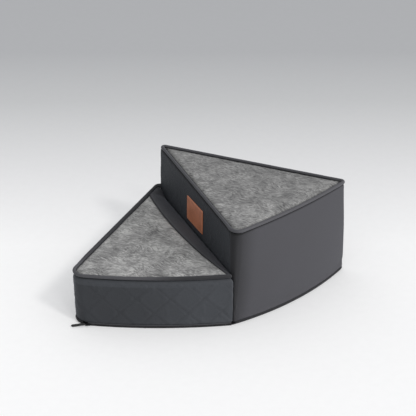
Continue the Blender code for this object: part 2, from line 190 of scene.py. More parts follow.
def outline(block, height, inset=0.0, apex=HIGH_APEX):
    """Plan points and outward normals of a wedge at a height, moved inwards by inset."""
    if block == "low":
        first, second, bow = DIVIDER, QUARTER, LOW_BOW
        near = NEAR_CORNER[0] + (NEAR_CORNER[1] - NEAR_CORNER[0]) * height / LOW_TOP
        radii = (SEAM_CORNER, near, LOW_APEX)
    else:
        share = height / HIGH_TOP
        first, second, bow = 0, DIVIDER, HIGH_BOW[0] + (HIGH_BOW[1] - HIGH_BOW[0]) * share
        middle = RISER_CORNER[0] + (RISER_CORNER[1] - RISER_CORNER[0]) * share
        radii = (FAR_CORNER, middle, apex)
    circle = front_circle(first, second, bow)
    r0, r1, r2 = (max(TIGHT, r - inset) for r in radii)
    c0 = corner_centre(first, True, inset, r0, circle)
    c1 = corner_centre(second, False, inset, r1, circle)
    c2 = apex_centre(first, second, inset + r2)
    n0, n1 = inward(first, True), inward(second, False)
    out0, out1 = c0 - circle[0], c1 - circle[0]
    pieces = [
        arc(c0, r0, -n0, out0, COUNTS[0]),
        arc(circle[0], circle[1] - inset, out0, out1, COUNTS[1]),
        arc(c1, r1, out1, -n1, COUNTS[2]),
        straight(c1 - n1 * r1, c2 - n1 * r2, -n1, COUNTS[3]),
        arc(c2, r2, -n1, -n0, COUNTS[4]),
        straight(c2 - n0 * r2, c0 - n0 * r0, -n0, COUNTS[5]),
    ]
    return np.concatenate([p for p, _ in pieces]) + APEX, np.concatenate([n for _, n in pieces])


def straight(start, end, normal, count):
    share = np.arange(count)[:, None] / count
    return start + (end - start) * share, np.tile(normal, (count, 1))


def apex_nose(inset):
    """The rounded inner corner of both wedges together, with its normals."""
    centre = APEX + apex_centre(0, QUARTER, HIGH_APEX)
    return arc(centre, HIGH_APEX - inset, np.array([-1, 0]), np.array([0, 1]), 12)


def span(first, last):
    """Outline indices from one to another, going on past the outline's end."""
    return np.arange(first, last + 1) % TOTAL


def by_divider(distance, reach):
    """Plan points by distance along the divider and reach into the low wedge."""
    distance, reach = np.broadcast_arrays(distance, reach)
    p = distance[..., None] * ray(DIVIDER) + reach[..., None] * inward(DIVIDER, True)
    return p + APEX


# Meshes


def place_in_scene(name, data):
    made = bpy.data.objects.new(name, data)
    bpy.context.scene.collection.objects.link(made)
    return made


def add_mesh(name, points, faces, finish, body="cover", uv=None, crease=None, angle=40):
    """A piece from points in the row frame. uv is in metres; crease is painted shade that darkens the
    finish, 0 to 1, and on the leather the tone of its edge.
    """
    mesh = bpy.data.meshes.new(name)
    mesh.from_pydata(np.asarray(points).tolist(), [], faces)
    shape = bmesh.new()
    shape.from_mesh(mesh)
    bmesh.ops.recalc_face_normals(shape, faces=shape.faces)
    shape.to_mesh(mesh)
    shape.free()
    if uv is not None:
        layer = mesh.uv_layers.new(name="cloth")
        corner = np.zeros(len(mesh.loops), np.int32)
        mesh.loops.foreach_get("vertex_index", corner)
        layer.data.foreach_set("uv", np.asarray(uv, np.float32)[corner].ravel())
    values = np.zeros(len(mesh.vertices)) if crease is None else np.clip(crease, 0, 1)
    mesh.attributes.new("crease", "FLOAT", "POINT").data.foreach_set("value", values)
    mesh.shade_smooth()
    mesh.set_sharp_from_angle(angle=math.radians(angle))
    mesh.materials.append(finish)
    made = place_in_scene(name, mesh)
    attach(made, body)
    return made


def sheet_faces(rows, columns, offset=0, flip=False, closed=False):
    faces = []
    last = columns if closed else columns - 1
    for r in range(rows - 1):
        for c in range(last):
            d = (c + 1) % columns
            a, b = offset + r * columns, offset + (r + 1) * columns
            face = (a + c, a + d, b + d, b + c)
            faces.append(face[::-1] if flip else face)
    return faces


def shell(grid, normals, thickness):
    """Points and faces of a closed sheet under a grid of rows by columns of points."""
    rows, columns, _ = grid.shape
    back = grid - normals * thickness
    points = np.concatenate([grid.reshape(-1, 3), back.reshape(-1, 3)])
    size = rows * columns
    faces = sheet_faces(rows, columns) + sheet_faces(rows, columns, size, flip=True)
    rim = [(r, 0) for r in range(rows)] + [(rows - 1, c) for c in range(1, columns)]
    rim += [(r, columns - 1) for r in range(rows - 2, -1, -1)]
    rim += [(0, c) for c in range(columns - 2, 0, -1)]
    rim = [r * columns + c for r, c in rim]
    for a, b in zip(rim, rim[1:] + rim[:1]):
        faces.append((a, b, b + size, a + size))
    return points, faces


def both_faces(*values):
    """Values on a grid, for the points of its shell."""
    return np.tile(np.stack([v.ravel() for v in values], 1), (2, 1))


def loft(rings):
    """Points and faces of a closed solid through rings with the same count."""
    count = len(rings[0])
    points = np.concatenate(rings)
    faces = [tuple(range(count))] + sheet_faces(len(rings), count, closed=True)
    faces.append(tuple(range(len(points) - count, len(points))))
    return points, faces


def at_height(plan, height):
    return np.c_[plan, np.broadcast_to(height, len(plan))]


def lengths(path):
    """Distance along a path at each of its points."""
    steps = np.linalg.norm(np.diff(path, axis=0), axis=1)
    return np.concatenate([[0], np.cumsum(steps)])


def tube(path, outward, radius, sides, closed, squash=1.0):
    """A cord on a path. outward holds a plan normal for each point; squash flattens it."""
    a = turns(sides)
    radius = np.broadcast_to(radius, len(path))[:, None, None]
    flat = np.c_[outward, np.zeros(len(path))][:, None, :] * np.cos(a)[None, :, None]
    up = np.array([0, 0, squash])[None, None, :] * np.sin(a)[None, :, None]
    rings = path[:, None, :] + (flat + up) * radius
    count = len(path)
    along = np.repeat(lengths(path), sides)
    around = np.tile(a * float(radius.mean()), count)
    points = rings.reshape(-1, 3)
    faces = sheet_faces(count, sides, closed=True)
    if closed:
        last = (count - 1) * sides
        for k in range(sides):
            m = (k + 1) % sides
            faces.append((last + k, last + m, m, k))
    else:
        faces += [tuple(range(sides)), tuple(range(len(points) - sides, len(points)))]
    return points, faces, np.c_[along, around]


def stitches(centres, ahead, up, length, thick):
    """Thread stitches: a small rounded bead at each centre, lying along its direction."""
    profile = [(-0.5, 0.0), (-0.38, 0.75), (0.0, 1.0), (0.38, 0.75), (0.5, 0.0)]
    sides = 6
    points, faces = [], []
    for c, t, n in zip(centres, ahead, up):
        side = np.cross(t, n)
        base = len(points)
        points.append(c + t * profile[0][0] * length)
        for x, r in profile[1:-1]:
            for k in range(sides):
                a = 2 * math.pi * k / sides
                lift = (side * math.cos(a) + n * math.sin(a)) * r * thick / 2
                points.append(c + t * x * length + lift)
        points.append(c + t * profile[-1][0] * length)
        end = len(points) - 1
        for k in range(sides):
            m = (k + 1) % sides
            faces.append((base, base + 1 + m, base + 1 + k))
            for ring in (0, 1):
                low = base + 1 + ring * sides
                faces.append((low + k, low + m, low + sides + m, low + sides + k))
            faces.append((end, base + 1 + 2 * sides + k, base + 1 + 2 * sides + m))
    return np.array(points), faces


# Finishes


def material(name, **sockets):
    made = bpy.data.materials.new(name)
    made.use_nodes = True
    shader = made.node_tree.nodes["Principled BSDF"]
    for socket, value in sockets.items():
        shader.inputs[socket.replace("_", " ")].default_value = value
    return made, made.node_tree, shader


def drive(tree, shader, socket, value):
    tree.links.new(value, shader.inputs[socket])


def creases(tree):
    """Painted shade in folds, at seams and at edges, 0 to 1; on the leather, the tone of its edge."""
    return put(tree, "Attribute", attribute_name="crease").outputs["Fac"]


def object_place(tree):
    return put(tree, "TexCoord").outputs["Object"]


def put(tree, kind, inputs={}, **settings):
    """Adds a node. An input's value is a number, a colour or another node's output."""
    node = tree.nodes.new("ShaderNode" + kind)
    for key, value in settings.items():
        setattr(node, key, value)
    for key, value in inputs.items():
        if isinstance(value, bpy.types.NodeSocket):
            tree.links.new(value, node.inputs[key])
        else:
            node.inputs[key].default_value = value
    return node


def linear(value):
    """Linear light from one 8-bit sRGB value."""
    return value / 255 / 12.92 if value <= 10 else ((value / 255 + 0.055) / 1.055) ** 2.4


def colour(r, g, b):
    """Linear colour from 8-bit sRGB values."""
    return (linear(r), linear(g), linear(b), 1)


def grey(value):
    return (value, value, value, 1)


def ramp(tree, factor, stops):
    node = put(tree, "ValToRGB", {"Fac": factor})
    elements = node.color_ramp.elements
    while len(elements) < len(stops):
        elements.new(0.5)
    for element, (position, value) in zip(elements, stops):
        element.position = position
        element.color = value
    return node.outputs["Color"]


def blotches(tree, place, scale, detail, rough=0.55):
    settings = {"Vector": place, "Scale": scale, "Detail": detail, "Roughness": rough}
    return put(tree, "TexNoise", settings).outputs["Fac"]


def mix(tree, factor, a, b, kind="MIX"):
    inputs = {0: factor, 6: a, 7: b}  # the colour sockets of a node that mixes several types
    return put(tree, "Mix", inputs, data_type="RGBA", blend_type=kind).outputs[2]


def sums(tree, operation, *values):
    return put(tree, "Math", dict(enumerate(values)), operation=operation).outputs[0]


def weave(tree, place, pitch):
    """Height of a plain weave, 0 to 1: over and under threads in both directions."""
    split = put(tree, "SeparateXYZ", {0: place})
    waves = []
    for axis in ("X", "Y"):
        turn = sums(tree, "MULTIPLY", split.outputs[axis], 2 * math.pi / pitch)
        waves.append(sums(tree, "SINE", turn))
    product = sums(tree, "MULTIPLY", waves[0], waves[1])
    return sums(tree, "MULTIPLY_ADD", product, 0.5, 0.5)


def add_bump(tree, shader, height, distance, strength):
    node = put(tree, "Bump", {"Height": height, "Distance": distance, "Strength": strength})
    drive(tree, shader, "Normal", node.outputs["Normal"])


def cloth_finish(name, dark, light, pitch, sheen=0.12):
    """Woven cloth: melange threads, a slow drift in tone, worn high spots, and painted shade that darkens it
    in folds, at seams and on shaded panels.
    """
    rough = 0.8
    made, tree, shader = material(name, Roughness=rough, Sheen_Weight=sheen, Sheen_Roughness=0.4)
    shader.inputs["Sheen Tint"].default_value = (0.8, 0.85, 1.0, 1)
    shader.inputs["Specular IOR Level"].default_value = 0.35
    uv = put(tree, "UVMap", uv_map="cloth").outputs["UV"]
    place = object_place(tree)
    threads = weave(tree, uv, pitch)
    drift = blotches(tree, place, 9, 4)
    fibre = blotches(tree, place, 900, 2)
    tone = mix(tree, drift, colour(*dark), colour(*light))
    fleck = ramp(tree, fibre, [(0.35, grey(0.82)), (0.65, grey(1.15))])
    tone = mix(tree, 1.0, tone, fleck, "MULTIPLY")
    crease = creases(tree)
    # painted shade: mixes the cloth towards near black where the attribute is high
    tone = mix(tree, crease, tone, colour(8, 8, 10))
    drive(tree, shader, "Base Color", tone)
    drive(tree, shader, "Roughness", sums(tree, "MULTIPLY_ADD", drift, 0.15, rough - 0.08))
    slub = blotches(tree, place, 260, 3)
    add_bump(tree, shader, sums(tree, "MULTIPLY_ADD", threads, 0.5, slub), 0.25 * MM, 0.5)
    return made


def plush_finish():
    """Short pile: brushed patches of light and dark fibre, with fine streaks over them."""
    made, tree, shader = material("plush", Roughness=0.95, Sheen_Weight=0.12, Sheen_Roughness=0.6)
    shader.inputs["Specular IOR Level"].default_value = 0.1
    place = object_place(tree)
    swirl = put(tree, "TexNoise", {"Vector": place, "Scale": 12.0, "Detail": 1.0})
    pushed = {0: swirl.outputs["Color"], 1: (0.06, 0.06, 0.06)}
    bent = put(tree, "VectorMath", pushed, operation="MULTIPLY")
    moved = put(tree, "VectorMath", {0: place, 1: bent.outputs[0]}, operation="ADD").outputs[0]
    streaks = []
    for turn, scale in ((25, (60, 240, 60)), (-35, (85, 330, 85)), (80, (120, 440, 120))):
        turned = {"Vector": moved, "Rotation": (0, 0, math.radians(turn)), "Scale": scale}
        mapped = put(tree, "Mapping", turned)
        streaks.append(blotches(tree, mapped.outputs[0], 1.0, 4, 0.6))
    fibre = sums(tree, "ADD", sums(tree, "ADD", streaks[0], streaks[1]), streaks[2])
    patches = blotches(tree, moved, 16, 5, 0.7)
    total = sums(tree, "MULTIPLY_ADD", patches, 0.9, sums(tree, "MULTIPLY", fibre, 0.7))
    greys = [(0.415, colour(82, 82, 82)), (0.50, colour(130, 130, 129)), (0.585, colour(174, 174, 172))]
    tone = ramp(tree, sums(tree, "DIVIDE", total, 3.0), greys)
    crease = creases(tree)
    # painted shade: darkens the pile at its edges and over the high tread
    drive(tree, shader, "Base Color", mix(tree, crease, tone, colour(30, 30, 31)))
    tips = blotches(tree, place, 700, 2)
    add_bump(tree, shader, sums(tree, "MULTIPLY_ADD", tips, 0.4, fibre), 1.2 * MM, 0.8)
    return made


def leather_finish():
    made, tree, shader = material("leather", Roughness=0.5, Coat_Weight=0.08, Coat_Roughness=0.4)
    place = object_place(tree)
    cells = put(tree, "TexVoronoi", {"Vector": place, "Scale": 900.0}, feature="DISTANCE_TO_EDGE")
    wear = blotches(tree, place, 60, 5)
    tone = ramp(tree, wear, [(0.3, colour(148, 90, 62)), (0.7, colour(174, 110, 80))])
    drive(tree, shader, "Base Color", mix(tree, creases(tree), tone, colour(186, 116, 82)))
    drive(tree, shader, "Roughness", sums(tree, "MULTIPLY_ADD", wear, 0.25, 0.38))
    pits = sums(tree, "MINIMUM", cells.outputs["Distance"], 0.12)
    add_bump(tree, shader, pits, 1.0 * MM, 0.35)
    return made


def moulded_finish(name, tone, rough, metallic=0.0):
    """Metal or plastic with faint moulding texture and rubbed patches."""
    made, tree, shader = material(name, Roughness=rough, Metallic=metallic)
    place = object_place(tree)
    rub = blotches(tree, place, 180, 5)
    lighter = tuple(min(1, v * 2.2 + 0.004) for v in tone[:3]) + (1,)
    shade = ramp(tree, rub, [(0.45, tone), (0.75, lighter)])
    drive(tree, shader, "Base Color", shade)
    drive(tree, shader, "Roughness", sums(tree, "MULTIPLY_ADD", rub, 0.3, rough - 0.12))
    add_bump(tree, shader, blotches(tree, place, 1500, 2), 0.1 * MM, 0.3)
    return made


def foam_finish(name, tone):
    """Open-cell foam."""
    made, tree, shader = material(name, Roughness=0.95)
    shader.inputs["Subsurface Weight"].default_value = 0.1
    place = object_place(tree)
    cells = put(tree, "TexVoronoi", {"Vector": place, "Scale": 450.0})
    drift = blotches(tree, place, 20, 4)
    deep = tuple(v * 0.7 for v in tone[:3]) + (1,)
    drive(tree, shader, "Base Color", mix(tree, cells.outputs["Distance"], tone, deep))
    add_bump(tree, shader, sums(tree, "ADD", cells.outputs["Distance"], drift), 0.8 * MM, 0.6)
    return made


# Name, darkest and lightest tone, thread pitch in mm, and the sheen where it differs
CLOTHS = {
    "cloth": ("charcoal_cloth", (53, 53, 56), (60, 60, 64), 0.9),
    # The quilted and riser cloths are darker copies of the cover cloth, the riser's with less sheen: painted
    # shade for the low front and the riser
    "quilt": ("quilted_cloth", (50, 52, 56), (57, 60, 64), 0.9),
    "riser": ("riser_cloth_shaded", (34, 37, 41), (41, 44, 48), 0.9, 0.03),
    "border": ("border_cloth", (54, 54, 57), (61, 61, 64), 0.9),
    "piping": ("piping_cloth", (60, 60, 63), (72, 72, 75), 0.7),
    "lining": ("lining", (24, 24, 26), (34, 34, 36), 1.1),
    "tape": ("zipper_tape", (20, 20, 22), (32, 32, 34), 0.8),
    "thread": ("thread", (46, 46, 50), (62, 62, 66), 0.3),
    "tan_thread": ("tan_thread", (170, 112, 84), (196, 140, 108), 0.3),
}
FINISH = {
    "plush": plush_finish(),
    "leather": leather_finish(),
    "nylon": moulded_finish("zipper_nylon", colour(30, 30, 32), 0.45),
    "metal": moulded_finish("black_metal", colour(28, 28, 30), 0.38, 0.85),
    "rubber": moulded_finish("pull_rubber", colour(9, 9, 10), 0.6),
    "silicone": moulded_finish("grip_silicone", colour(34, 34, 36), 0.6),
    "foam": foam_finish("foam", colour(226, 220, 200)),
    "memory": foam_finish("memory_foam", colour(236, 235, 230)),
    "batting": foam_finish("batting", colour(232, 232, 230)),
}
for key, (name, dark, light, pitch, *sheen) in CLOTHS.items():
    FINISH[key] = cloth_finish(name, dark, light, pitch * MM, *sheen)


def stands_for(node):
    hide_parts(node)


def stand_in(node, suffix, points, faces, finish, slot, body="cover", **looks):
    """Makes the piece that is seen in place of a CAD node."""
    made = add_mesh(f"{node}_{suffix}", points, faces, FINISH[finish], body, **looks)
    stands_for(node)
    return made


# Cover


def levels(foot, top):
    """Heights, close together near both edges of a panel."""
    fine = np.array([0, 0.4, 0.9, 1.5, 2.2, 3.0, 4.0, 5.2, 6.6]) * MM
    middle = np.linspace(foot + 8.5 * MM, top - 8.5 * MM, int((top - foot) / (3.2 * MM)))
    return np.concatenate([foot + fine, middle, (top - fine)[::-1]])


def wall_inset(z, foot, top, ends, bulge, shoulder):
    """Inset of a wall at a height: fuller half way up, and rolled in under the piping."""
    t = (z - foot) / (top - foot)
    inset = ends[0] + (ends[1] - ends[0]) * t - bulge * math.sin(math.pi * t)
    inset += shoulder[0] * float(smooth(1 - (top - z) / shoulder[1])) ** 2
    for distance, turned_in, width in ((top - z, 3.2, 1.9), (z - foot, 1.8, 1.5)):
        inset += turned_in * MM * math.exp(-((distance / (width * MM)) ** 2))
    return inset


class Wall:
    """Cloth sewn round part of a wedge: a grid of points by height and by distance along."""

    def __init__(self, node, block, columns, profile):
        self.node = node
        self.foot, self.top = foot_and_top(node)
        heights = levels(self.foot, self.top)
        rows, outs = [], []
        for z in heights:
            plan, normal = outline(block, z, wall_inset(z, self.foot, self.top, *profile))
            rows.append(at_height(plan[columns], z))
            outs.append(at_height(normal[columns], 0))
        self.grid, self.normals = np.array(rows), np.array(outs)
        self.along = lengths(self.grid[len(heights) // 2])
        self.s, self.z = np.meshgrid(self.along, heights)

    def edges(self):
        """Distance to the nearest sewn edge."""
        across = np.minimum(self.s, self.along[-1] - self.s)
        return np.minimum(across, np.minimum(self.z - self.foot, self.top - self.z))

    def raise_by(self, lift):
        self.grid = self.grid + self.normals * lift[..., None]

    def sew(self, finish, slot, crease):
        """Rolls the cloth in at its seams, paints shade into its seams, under the piping and at its foot,
        and makes the sheet.
        """
        roll = np.zeros_like(self.s)
        ends = (self.s, self.along[-1] - self.s)
        for distance in ends:
            roll -= 1.6 * MM * bell(distance, 1.3 * MM)
        # Painted shade at both ends, under the piping and at the foot: distance, how dark, and how wide in
        # mm
        shades = [(ends[0], 0.8, 1.0), (ends[1], 0.8, 1.0)]
        shades += [(self.top - self.z, 0.95, 4.0), (self.z - self.foot, 0.7, 1.5)]
        for distance, dark, width in shades:
            crease = crease + dark * bell(distance, width * MM)
        self.raise_by(roll)
        points, faces = shell(self.grid, self.normals, CLOTH)
        uv = both_faces(self.s, self.z)
        crease = both_faces(crease).ravel()
        made = stand_in(self.node, "sewn", points, faces, finish, slot, uv=uv, crease=crease)

    def line(self, node, first, last):
        """Batting that follows the inside of the cloth."""
        inner = (self.z[:, 0] > self.foot + 5 * MM) & (self.z[:, 0] < self.top - 6 * MM)
        rows = np.flatnonzero(inner)[::2]
        columns = np.flatnonzero((self.along > first) & (self.along < last))[::2]
        normals = self.normals[np.ix_(rows, columns)]
        grid = self.grid[np.ix_(rows, columns)] - normals * (CLOTH + 0.2 * MM)
        points, faces = shell(grid, normals, 4.5 * MM)
        made = stand_in(node, "laid", points, faces, "batting", "batting")


def resample(field, r, c):
    """Values of a grid at fractional row and column numbers."""
    r0 = np.clip(np.floor(r).astype(int), 0, field.shape[0] - 2)
    c0 = np.clip(np.floor(c).astype(int), 0, field.shape[1] - 2)
    u, v = r - r0, c - c0
    if field.ndim == 3:
        u, v = u[..., None], v[..., None]
    near = field[r0, c0] * (1 - v) + field[r0, c0 + 1] * v
    far = field[r0 + 1, c0] * (1 - v) + field[r0 + 1, c0 + 1] * v
    return near * (1 - u) + far * u


SETTLED = 20  # frames until the cloth rests
CANVAS = {
    "quality": 6,
    "mass": 0.3,
    "tension_stiffness": 20,
    "compression_stiffness": 20,
    "bending_stiffness": 0.4,
    "use_pressure": True,
    "uniform_pressure_force": 4,
    "vertex_group_mass": "sewn",
}


def inflate(wall, sewn, slack, cap, step=7 * MM):
    """Simulates cloth a little too large for its frame, filled from behind, and returns its lift.

    sewn is a grid that is True where the cloth is held. cap is the most that a point may move.
    """
    tall, wide = wall.top - wall.foot, wall.along[-1]
    heights = np.linspace(wall.foot, wall.top, int(tall / step) + 1)
    along = np.linspace(0, wide, int(wide / step) + 1)
    r = np.interp(heights, wall.z[:, 0], np.arange(len(wall.z)))
    c = np.interp(along, wall.along, np.arange(len(wall.along)))
    r, c = np.meshgrid(r, c, indexing="ij")
    coarse, normals = resample(wall.grid, r, c), resample(wall.normals, r, c)
    held = resample(sewn.astype(float), r, c) > 0.4
    held[[0, -1]] = held[:, [0, -1]] = True
    points, faces = shell(coarse, normals, 6 * MM)
    mesh = bpy.data.meshes.new("filling")
    mesh.from_pydata(points.tolist(), [], faces)
    filling = place_in_scene("filling", mesh)
    group = filling.vertex_groups.new(name="sewn")
    pinned = np.concatenate([np.flatnonzero(held.ravel()), np.arange(held.size, 2 * held.size)])
    group.add(pinned.tolist(), 1.0, "REPLACE")
    cloth = filling.modifiers.new("cloth", "CLOTH")
    for setting, value in CANVAS.items():
        setattr(cloth.settings, setting, value)
    cloth.settings.shrink_min = -slack
    cloth.settings.effector_weights.gravity = 0
    cloth.collision_settings.use_collision = False
    for frame_number in range(1, SETTLED + 1):
        bpy.context.scene.frame_set(frame_number)
    shaped = filling.evaluated_get(bpy.context.evaluated_depsgraph_get())
    moved = np.zeros(len(points) * 3)
    shaped.data.vertices.foreach_get("co", moved)
    moved = moved.reshape(-1, 3)[: held.size].reshape(coarse.shape)
    bpy.data.objects.remove(filling)
    bpy.context.scene.frame_set(1)
    lift = np.sum((moved - coarse) * normals, axis=-1)
    lift = cap * np.tanh(lift / cap)
    rows = (wall.z - wall.foot) / tall * (len(heights) - 1)
    columns = wall.s / wide * (len(along) - 1)
    return resample(lift, rows, columns)


def slack(wall, seed, amount=1.0):
    """Folds that a taut cover still has: slow waves, and short puckers at the sewn edges."""
    waves = 0.8 * MM * fractal(wall.grid, (0.16, 0.16, 0.12), 2, seed)
    line = np.stack([wall.s, np.zeros_like(wall.s), np.zeros_like(wall.s)], -1)
    near_top = np.exp(-(wall.top - wall.z) / (12 * MM))
    near_foot = np.exp(-(wall.z - wall.foot) / (9 * MM))
    puckers = noise(line, 19 * MM, seed + 7) * near_top + noise(line, 15 * MM, seed + 9) * near_foot
    return (waves + 0.45 * MM * puckers) * amount


def diamond(s, z, offset):
    """Distance from the lines of a diamond quilt."""
    away = np.full_like(s, QUILT_PITCH)
    for value in (s - z, s + z):
        line = (value - offset + QUILT_PITCH / 2) % QUILT_PITCH - QUILT_PITCH / 2
        away = np.minimum(away, np.abs(line) / math.sqrt(2))
    return away


def quilt(wall, offset, margin, depth):
    """Puffs between quilt lines, with a fold pressed in along each line; returns painted shade along the
    lines.
    """
    away = diamond(wall.s, wall.z, offset)
    inside = smooth((wall.top - margin - wall.z) / (4 * MM))
    lines = (away < 4 * MM) & (inside > 0.5)
    wall.raise_by(inflate(wall, lines, 0.01, 1.4 * depth))
    wall.raise_by(-depth * bell(away, 7 * MM) * inside)
    # painted shade in the quilt lines
    return 0.22 * bell(away, 0.9 * MM) * inside


def quilt_stitches(name, wall, offset, low, high):
    """Thread beads along the quilt's lines, set on the panel's grid."""
    cycle = 4.2 * MM
    along, heights = wall.along, wall.z[:, 0]
    centres, ahead, ups = [], [], []
    for slope in (1, -1):
        first = math.floor((along[0] - offset - high) / QUILT_PITCH) - 1
        last = math.ceil((along[-1] - offset + high) / QUILT_PITCH) + 1
        for k in range(first, last + 1):
            for h in np.arange(low + cycle, high - cycle, cycle / math.sqrt(2)):
                at = offset + k * QUILT_PITCH + slope * h
                if not along[0] + cycle < at < along[-1] - cycle:
                    continue
                ends = [surface(wall.grid, along, heights, at + slope * d, h + d) for d in (-MM, MM)]
                column = min(int(np.searchsorted(along, at)), len(along) - 1)
                normal = wall.normals[len(heights) // 2, column]
                centres.append((ends[0] + ends[1]) / 2 + normal * 0.1 * MM)
                ahead.append(unit(ends[1] - ends[0]))
                ups.append(normal)
    points, faces = stitches(centres, ahead, ups, cycle * 0.72, 0.6 * MM)
    made = add_mesh(name, points, faces, FINISH["thread"], uv=points[:, :2])


def surface(grid, along, heights, at, height):
    """A point of a grid by its distance along and its height."""
    c = np.clip(np.searchsorted(along, at) - 1, 0, len(along) - 2)
    r = np.clip(np.searchsorted(heights, height) - 1, 0, len(heights) - 2)
    u = (at - along[c]) / (along[c + 1] - along[c])
    v = (height - heights[r]) / (heights[r + 1] - heights[r])
    low = grid[r, c] * (1 - u) + grid[r, c + 1] * u
    high = grid[r + 1, c] * (1 - u) + grid[r + 1, c + 1] * u
    return low * (1 - v) + high * v


NOSE = (STOPS[4] + STOPS[5]) // 2
# Inset at the foot and top, bulge, and the depth and height of the roll under the piping
RISER_PROFILE = ((0.8 * MM, 2.4 * MM), 1.6 * MM, (1.2 * MM, 14 * MM))
LOW_PROFILE = ((3.4 * MM, 1.4 * MM), 1.6 * MM, (2.5 * MM, 14 * MM))
HIGH_PROFILE = ((0.4 * MM, 1.8 * MM), 3.8 * MM, (1.6 * MM, 14 * MM))


def lower_front():
    profile = ((3.6 * MM, 1.2 * MM), 1.6 * MM, (6.5 * MM, 19 * MM))
    wall = Wall("lower_front_panel", "low", span(STOPS[0], STOPS[3]), profile)
    meeting = 3.2 * MM * np.exp(-wall.s / (5 * MM))  # it closes up to the high wedge
    wall.grid[..., :2] -= meeting[..., None] * inward(DIVIDER, True)
    offset = 81 * MM
    crease = quilt(wall, offset, FACING, 0.8 * MM)
    edge = bell(wall.z - wall.top + FACING, 1.5 * MM)
    wall.raise_by(slack(wall, 3) - 0.3 * MM * edge)
    flush = 2.6 * MM * smooth((wall.along[-1] - 50 * MM - wall.s) / (60 * MM))  # with the zipper tape
    wall.raise_by(flush * bell(wall.z - wall.foot, 16 * MM))
    shaded_left = 0.3 * smooth((wall.s - 60 * MM) / (260 * MM))  # painted shade, darker to the left
    band = smooth((wall.top - FACING - wall.z) / (5 * MM))
    # takes back some of the painted shade at the wall's foot
    less_foot_shade = 0.5 * bell(wall.z - wall.foot, 1.5 * MM)
    wall.sew("quilt", "quilted_cloth", crease + shaded_left * band - less_foot_shade)
    quilt_stitches("lower_front_stitching", wall, offset, wall.foot, wall.top - FACING)
    wall.line("lower_front_batting", 12 * MM, wall.along[-1] - 50 * MM)


def plain(node, block, columns, profile, seed, shade=0.0):
    """A plain panel; shade is painted shade towards the end of the panel."""
    wall = Wall(node, block, columns, profile)
    wall.raise_by(inflate(wall, wall.edges() < 3 * MM, 0.004, 2.2 * MM, 9 * MM))
    wall.raise_by(slack(wall, seed))
    wide = 90 * MM + 24 * MM * noise(wall.grid, 0.12, seed + 3)
    # painted shade towards the panel's end beside the riser
    crease = shade * smooth(1 - (wall.along[-1] - wall.s) / wide)
    wall.sew("cloth", "charcoal_cloth", crease)


def riser():
    wall = Wall("riser_panel", "high", span(STOPS[3], NOSE), RISER_PROFILE)
    offset = -60 * MM
    crease = quilt(wall, offset, FACING / 2, 0.5 * MM)
    wall.raise_by(slack(wall, 41, 0.45))
    shaded = 0.75 * bell(wall.top - wall.z, 7 * MM)  # under the cord
    wall.sew("riser", "quilted_cloth", np.maximum(crease, shaded))
    quilt_stitches("riser_stitching", wall, offset, LOW_TOP - 20 * MM, wall.top - FACING / 2)
    wall.line("riser_batting", 40 * MM, wall.along[-1] - 30 * MM)


def finish_cad(node, name):
    """Gives a CAD piece that is kept its finish."""
    piece = frame["nodes"][node]
    piece.data.materials.clear()
    piece.data.materials.append(FINISH[name])
    return piece


def rim(block, top, first, last, closed):
    """The cord path along a tread's edge, with its normals."""
    plan, normal = outline(block, top, PIPING, CORD_APEX)
    columns = np.arange(TOTAL) if closed else span(first, last)
    return at_height(plan[columns], top - PIPING), normal[columns]


def piping(node, path, outward, radius, closed, seed, flange, outer_shade=0.0):
    """Covered cord, with a flat flange of its cloth inside it; outer_shade is painted shade on its outer
    side.
    """
    wobble = 1 + 0.035 * noise(path, 24 * MM, seed) + 0.02 * noise(path, 6 * MM, seed + 1)
    points, faces, uv = tube(path, outward, radius * 0.97 * wobble, CORD_SIDES, closed)
    # painted shade under the cord
    under = path[:, 2].repeat(CORD_SIDES) - points[:, 2]
    crease = smooth((under / np.repeat(radius * np.ones(len(path)), CORD_SIDES) - 0.7) / 0.3)
    outer = np.cos(turns(CORD_SIDES)) * 0.5 + 0.5
    dark = np.broadcast_to(outer_shade, len(path))[:, None] * (0.35 + 0.65 * outer)
    crease = np.maximum(crease, dark.ravel())
    if flange:
        inner = path - np.c_[outward, np.zeros(len(path))] * flange * 0.75
        inner[:, 2] -= 5.5 * MM
        more, others, more_uv = tube(inner, outward, flange, FLANGE_SIDES, closed, 0.1)
        faces = faces + [tuple(v + len(points) for v in f) for f in others]
        points, uv = np.concatenate([points, more]), np.concatenate([uv, more_uv])
        # painted shade: the flange is dark where it lies in shadow under the cord
        crease = np.concatenate([crease, np.full(len(more), 0.85)])
    stand_in(node, "cord", points, faces, "piping", "piping_cloth", uv=uv, crease=crease)


